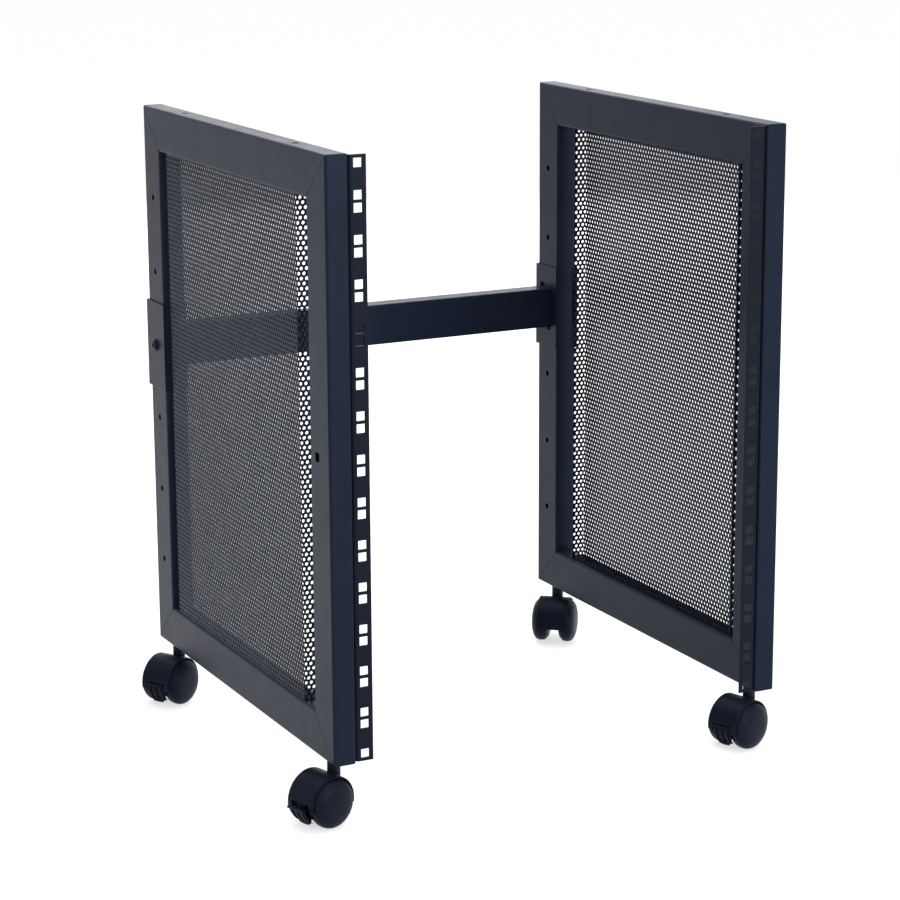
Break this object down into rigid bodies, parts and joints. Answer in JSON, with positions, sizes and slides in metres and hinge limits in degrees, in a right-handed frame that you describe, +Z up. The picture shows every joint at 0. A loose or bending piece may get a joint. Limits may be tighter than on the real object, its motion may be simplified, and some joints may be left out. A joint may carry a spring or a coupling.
{
  "type": "open equipment rack",
  "caption": "Open 19 inch equipment rack with mitred perforated side panels, square-hole rails, a rear crossbar and braked swivel casters.",
  "frame": {"origin": "on the floor, at the middle of the four caster swivel axes: midway between the side panels and along their depth", "axes": "+Z up, -Y to the front where the rails are, +X to the right of someone facing the front from inside the room"},
  "size_m": [0.5883, 0.5064, 0.697],
  "materials": {
    "frame_paint": "satin black powder coat",
    "sheet_paint": "satin black powder coat",
    "rail_paint": "satin black powder coat",
    "hood_plastic": "moulded black nylon",
    "wheel_plastic": "moulded black nylon",
    "zinc_steel": "blackened steel"
  },
  "bodies": {
    "rack": {"left_bottom_tube": "frame_paint", "left_top_tube": "frame_paint", "left_front_post": "frame_paint", "left_rear_post": "frame_paint", "left_perforated_sheet": "sheet_paint", "left_rack_rail": "rail_paint", "left_crossbar_bracket": "frame_paint", "right_bottom_tube": "frame_paint", "right_top_tube": "frame_paint", "right_front_post": "frame_paint", "right_rear_post": "frame_paint", "right_perforated_sheet": "sheet_paint", "right_rack_rail": "rail_paint", "right_crossbar_bracket": "frame_paint", "rear_crossbar": "frame_paint", "front_left_caster_stem": "zinc_steel", "rear_left_caster_stem": "zinc_steel", "front_right_caster_stem": "zinc_steel", "rear_right_caster_stem": "zinc_steel"},
    "front_left_caster": {"front_left_caster_hood": "hood_plastic"},
    "front_left_wheel_pair": {"front_left_caster_wheels": "wheel_plastic", "front_left_caster_axle": "zinc_steel"},
    "front_left_brake": {"front_left_brake_lever": "hood_plastic"},
    "rear_left_caster": {"rear_left_caster_hood": "hood_plastic"},
    "rear_left_wheel_pair": {"rear_left_caster_wheels": "wheel_plastic", "rear_left_caster_axle": "zinc_steel"},
    "rear_left_brake": {"rear_left_brake_lever": "hood_plastic"},
    "front_right_caster": {"front_right_caster_hood": "hood_plastic"},
    "front_right_wheel_pair": {"front_right_caster_wheels": "wheel_plastic", "front_right_caster_axle": "zinc_steel"},
    "front_right_brake": {"front_right_brake_lever": "hood_plastic"},
    "rear_right_caster": {"rear_right_caster_hood": "hood_plastic"},
    "rear_right_wheel_pair": {"rear_right_caster_wheels": "wheel_plastic", "rear_right_caster_axle": "zinc_steel"}
  },
  "joints": [
    {"name": "front_left_swivel", "type": "hinge", "parent": "rack", "child": "front_left_caster", "pos_m": [-0.2555, -0.22, 0.054], "axis": [0, 0, 1], "continuous": true},
    {"name": "front_left_roll", "type": "hinge", "parent": "front_left_caster", "child": "front_left_wheel_pair", "pos_m": [-0.27271, -0.22526, 0.0265], "axis": [0.2924, -0.9563, 0], "continuous": true},
    {"name": "front_left_brake_tilt", "type": "hinge", "parent": "front_left_caster", "child": "front_left_brake", "pos_m": [-0.29375, -0.2317, 0.009], "axis": [0.2924, -0.9563, 0], "range_deg": [-18, 0]},
    {"name": "rear_left_swivel", "type": "hinge", "parent": "rack", "child": "rear_left_caster", "pos_m": [-0.2555, 0.22, 0.054], "axis": [0, 0, 1], "continuous": true},
    {"name": "rear_left_roll", "type": "hinge", "parent": "rear_left_caster", "child": "rear_left_wheel_pair", "pos_m": [-0.27093, 0.21073, 0.0265], "axis": [0.515, -0.8572, 0], "continuous": true},
    {"name": "rear_left_brake_tilt", "type": "hinge", "parent": "rear_left_caster", "child": "rear_left_brake", "pos_m": [-0.28979, 0.1994, 0.009], "axis": [0.515, -0.8572, 0], "range_deg": [0, 18]},
    {"name": "front_right_swivel", "type": "hinge", "parent": "rack", "child": "front_right_caster", "pos_m": [0.2555, -0.22, 0.054], "axis": [0, 0, 1], "continuous": true},
    {"name": "front_right_roll", "type": "hinge", "parent": "front_right_caster", "child": "front_right_wheel_pair", "pos_m": [0.23829, -0.22526, 0.0265], "axis": [0.2924, -0.9563, 0], "continuous": true},
    {"name": "front_right_brake_tilt", "type": "hinge", "parent": "front_right_caster", "child": "front_right_brake", "pos_m": [0.21725, -0.2317, 0.009], "axis": [0.2924, -0.9563, 0], "range_deg": [0, 18]},
    {"name": "rear_right_swivel", "type": "hinge", "parent": "rack", "child": "rear_right_caster", "pos_m": [0.2555, 0.22, 0.054], "axis": [0, 0, 1], "continuous": true},
    {"name": "rear_right_roll", "type": "hinge", "parent": "rear_right_caster", "child": "rear_right_wheel_pair", "pos_m": [0.24417, 0.20601, 0.0265], "axis": [0.7771, -0.6293, 0], "continuous": true}
  ]
}
